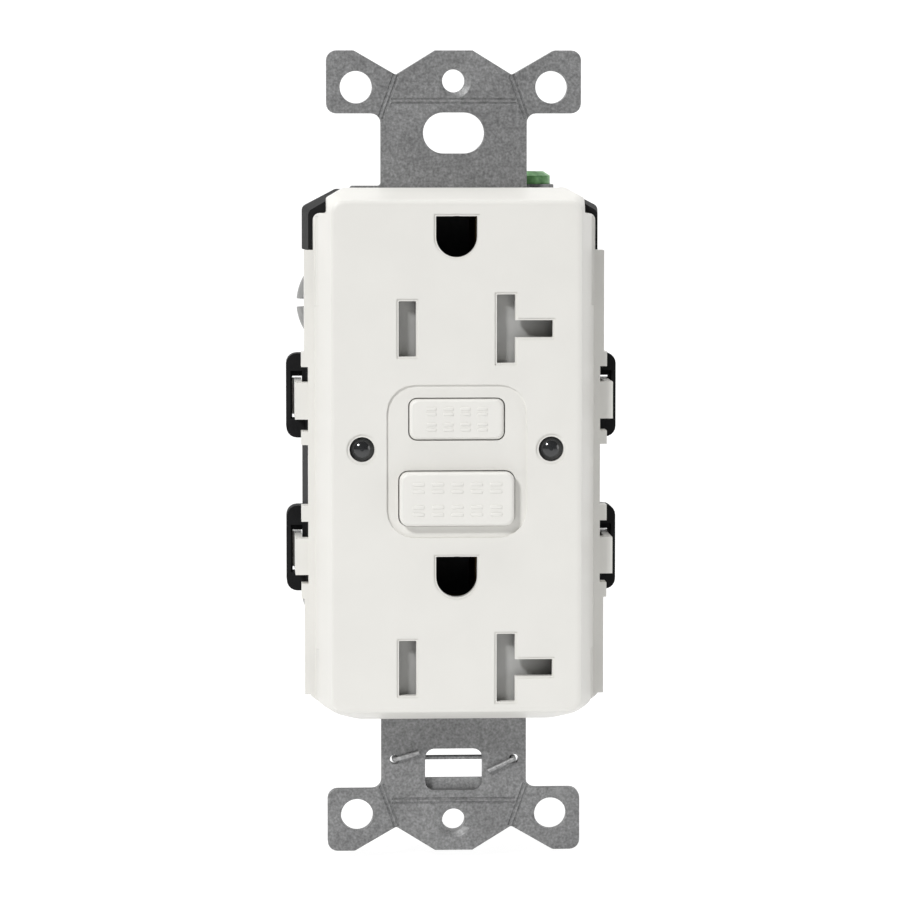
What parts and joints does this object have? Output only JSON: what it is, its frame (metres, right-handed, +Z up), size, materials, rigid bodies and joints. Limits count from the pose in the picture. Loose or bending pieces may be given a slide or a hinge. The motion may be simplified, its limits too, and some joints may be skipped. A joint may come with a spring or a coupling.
{
  "type": "gfci outlet",
  "caption": "Ground-fault receptacle with T-slot outlets, test and reset buttons, shuttered slots and side screw terminals on a steel yoke strap.",
  "frame": {"origin": "midway between the two cover plate screw holes, on the strap's back face", "axes": "+X right and +Z up as seen from the front, with the ground holes above the blade slots; the front faces -Y and the housing reaches back along +Y"},
  "size_m": [0.0434, 0.0368, 0.1046],
  "materials": {
    "cover_plastic": "satin",
    "housing_plastic": "fine matte",
    "inner_plastic": "matte",
    "strap_steel": "galvanised, mottled",
    "spring_steel": "drawn",
    "smoked_lens": "polished",
    "shutter_plastic": "matte",
    "brass": "stamped",
    "copper": "stamped",
    "terminal_steel": "plated",
    "green_screw": "plated green",
    "carrier_plastic": "matte",
    "coil_plastic": "matte",
    "board": "solder mask",
    "component_dark": "moulded",
    "component_tan": "coated",
    "status_led": "clear"
  },
  "bodies": {
    "base": {"front_cover": "cover_plastic", "mounting_strap": "strap_steel", "rear_housing": "housing_plastic", "middle_housing": "inner_plastic", "test_spring": "spring_steel", "test_contact": "brass", "reset_spring": "spring_steel", "status_lens_left": "smoked_lens", "status_lens_right": "smoked_lens", "shutter_spring_upper": "spring_steel", "shutter_spring_lower": "spring_steel", "shutter_guide_upper": "shutter_plastic", "shutter_guide_lower": "shutter_plastic", "ground_contact_upper": "brass", "ground_contact_lower": "brass", "ground_rivets": "brass", "hot_face_contacts": "brass", "neutral_face_contacts": "brass", "carrier_springs": "spring_steel", "fixed_contacts": "brass", "solenoid_frame": "spring_steel", "solenoid_bobbin": "coil_plastic", "solenoid_winding": "copper", "plunger_spring": "spring_steel", "coil_housing": "coil_plastic", "sensing_core": "copper", "neutral_core": "component_dark", "line_conductors": "copper", "circuit_board": "board", "capacitor": "component_dark", "varistor": "component_tan", "thyristor": "component_dark", "control_chip": "component_dark", "resistors": "component_tan", "diodes": "component_dark", "status_leds": "status_led", "terminal_plates": "brass", "ground_bracket": "strap_steel", "clip_wire_and_retainer": "strap_steel", "assembly_screws": "spring_steel"},
    "test_key": {"test_button": "cover_plastic"},
    "reset_key": {"reset_button": "cover_plastic", "reset_pin": "spring_steel"},
    "carrier": {"contact_carrier": "carrier_plastic"},
    "latch": {"latch_plate": "spring_steel"},
    "arm_hot": {"contact_arm_hot": "copper"},
    "arm_neutral": {"contact_arm_neutral": "copper"},
    "plunger": {"solenoid_plunger": "spring_steel"},
    "shutter_up": {"shutter_upper": "shutter_plastic"},
    "shutter_low": {"shutter_lower": "shutter_plastic"},
    "clamp_ul": {"clamp_upper_left": "brass"},
    "clamp_ur": {"clamp_upper_right": "brass"},
    "clamp_ll": {"clamp_lower_left": "brass"},
    "clamp_lr": {"clamp_lower_right": "brass"},
    "screw_ul": {"screw_upper_left": "terminal_steel"},
    "screw_ur": {"screw_upper_right": "terminal_steel"},
    "screw_ll": {"screw_lower_left": "terminal_steel"},
    "screw_lr": {"screw_lower_right": "terminal_steel"},
    "ground_clamp": {"ground_pressure_plate": "strap_steel"},
    "ground_screw": {"ground_screw": "green_screw"}
  },
  "joints": [
    {"name": "test_press", "type": "slide", "parent": "base", "child": "test_key", "axis": [0, 1, 0], "range_m": [0, 0.0012], "stiffness_N_per_m": 500, "springref_m": -0.001, "deforming": ["test_spring"]},
    {"name": "reset_press", "type": "slide", "parent": "base", "child": "reset_key", "axis": [0, 1, 0], "range_m": [0, 0.002], "stiffness_N_per_m": 600, "springref_m": -0.001, "deforming": ["reset_spring"]},
    {"name": "carrier_drop", "type": "slide", "parent": "base", "child": "carrier", "axis": [0, 1, 0], "range_m": [0, 0.0011], "stiffness_N_per_m": 400, "springref_m": -0.001, "deforming": ["carrier_springs"]},
    {"name": "plunger_stroke", "type": "slide", "parent": "base", "child": "plunger", "axis": [0, 0, 1], "range_m": [0, 0.0012], "stiffness_N_per_m": 300, "springref_m": -0.001, "deforming": ["plunger_spring"]},
    {"name": "latch_slide", "type": "slide", "parent": "carrier", "child": "latch", "axis": [0, 0, 1], "range_m": [0, 0.0012]},
    {"name": "arm_hot_flex", "type": "hinge", "parent": "base", "child": "arm_hot", "pos_m": [-0.0079, 0.01515, 0.0082], "axis": [1, 0, 0], "range_deg": [0, 4.8]},
    {"name": "arm_neutral_flex", "type": "hinge", "parent": "base", "child": "arm_neutral", "pos_m": [0.0079, 0.01515, 0.0082], "axis": [1, 0, 0], "range_deg": [0, 4.8]},
    {"name": "shutter_upper_slide", "type": "slide", "parent": "base", "child": "shutter_up", "axis": [-1, 0, 0], "range_m": [0, 0.0074], "stiffness_N_per_m": 80, "springref_m": -0.002, "deforming": ["shutter_spring_upper"]},
    {"name": "shutter_lower_slide", "type": "slide", "parent": "base", "child": "shutter_low", "axis": [-1, 0, 0], "range_m": [0, 0.0074], "stiffness_N_per_m": 80, "springref_m": -0.002, "deforming": ["shutter_spring_lower"]},
    {"name": "clamp_ul_travel", "type": "slide", "parent": "base", "child": "clamp_ul", "axis": [-1, 0, 0], "range_m": [-0.0015, 0]},
    {"name": "screw_ul_turn", "type": "hinge", "parent": "clamp_ul", "child": "screw_ul", "pos_m": [-0.018, 0.013, 0.0191], "axis": [-1, 0, 0], "range_deg": [-680.6, 0]},
    {"name": "clamp_ur_travel", "type": "slide", "parent": "base", "child": "clamp_ur", "axis": [1, 0, 0], "range_m": [-0.0015, 0]},
    {"name": "screw_ur_turn", "type": "hinge", "parent": "clamp_ur", "child": "screw_ur", "pos_m": [0.018, 0.013, 0.0191], "axis": [1, 0, 0], "range_deg": [-680.6, 0]},
    {"name": "clamp_ll_travel", "type": "slide", "parent": "base", "child": "clamp_ll", "axis": [-1, 0, 0], "range_m": [-0.00095, 0]},
    {"name": "screw_ll_turn", "type": "hinge", "parent": "clamp_ll", "child": "screw_ll", "pos_m": [-0.018, 0.013, -0.0191], "axis": [-1, 0, 0], "range_deg": [-431.23, 0]},
    {"name": "clamp_lr_travel", "type": "slide", "parent": "base", "child": "clamp_lr", "axis": [1, 0, 0], "range_m": [-0.00095, 0]},
    {"name": "screw_lr_turn", "type": "hinge", "parent": "clamp_lr", "child": "screw_lr", "pos_m": [0.018, 0.013, -0.0191], "axis": [1, 0, 0], "range_deg": [-431.23, 0]},
    {"name": "ground_clamp_lift", "type": "slide", "parent": "base", "child": "ground_clamp", "axis": [0, 0, 1], "range_m": [0, 0.0015]},
    {"name": "ground_screw_turn", "type": "hinge", "parent": "ground_clamp", "child": "ground_screw", "pos_m": [0.0095, 0.005, 0.035], "axis": [0, 0, 1], "range_deg": [0, 680.6]}
  ],
  "couplings": [
    {"joint": "latch_slide", "follows": "plunger_stroke", "ratio": 1},
    {"joint": "arm_hot_flex", "follows": "carrier_drop", "rad_per_m": 74.074},
    {"joint": "arm_neutral_flex", "follows": "carrier_drop", "rad_per_m": 74.074},
    {"joint": "screw_ul_turn", "follows": "clamp_ul_travel", "rad_per_m": 7913.3},
    {"joint": "screw_ur_turn", "follows": "clamp_ur_travel", "rad_per_m": 7913.3},
    {"joint": "screw_ll_turn", "follows": "clamp_ll_travel", "rad_per_m": 7913.3},
    {"joint": "screw_lr_turn", "follows": "clamp_lr_travel", "rad_per_m": 7913.3},
    {"joint": "ground_screw_turn", "follows": "ground_clamp_lift", "rad_per_m": 7913.3}
  ]
}
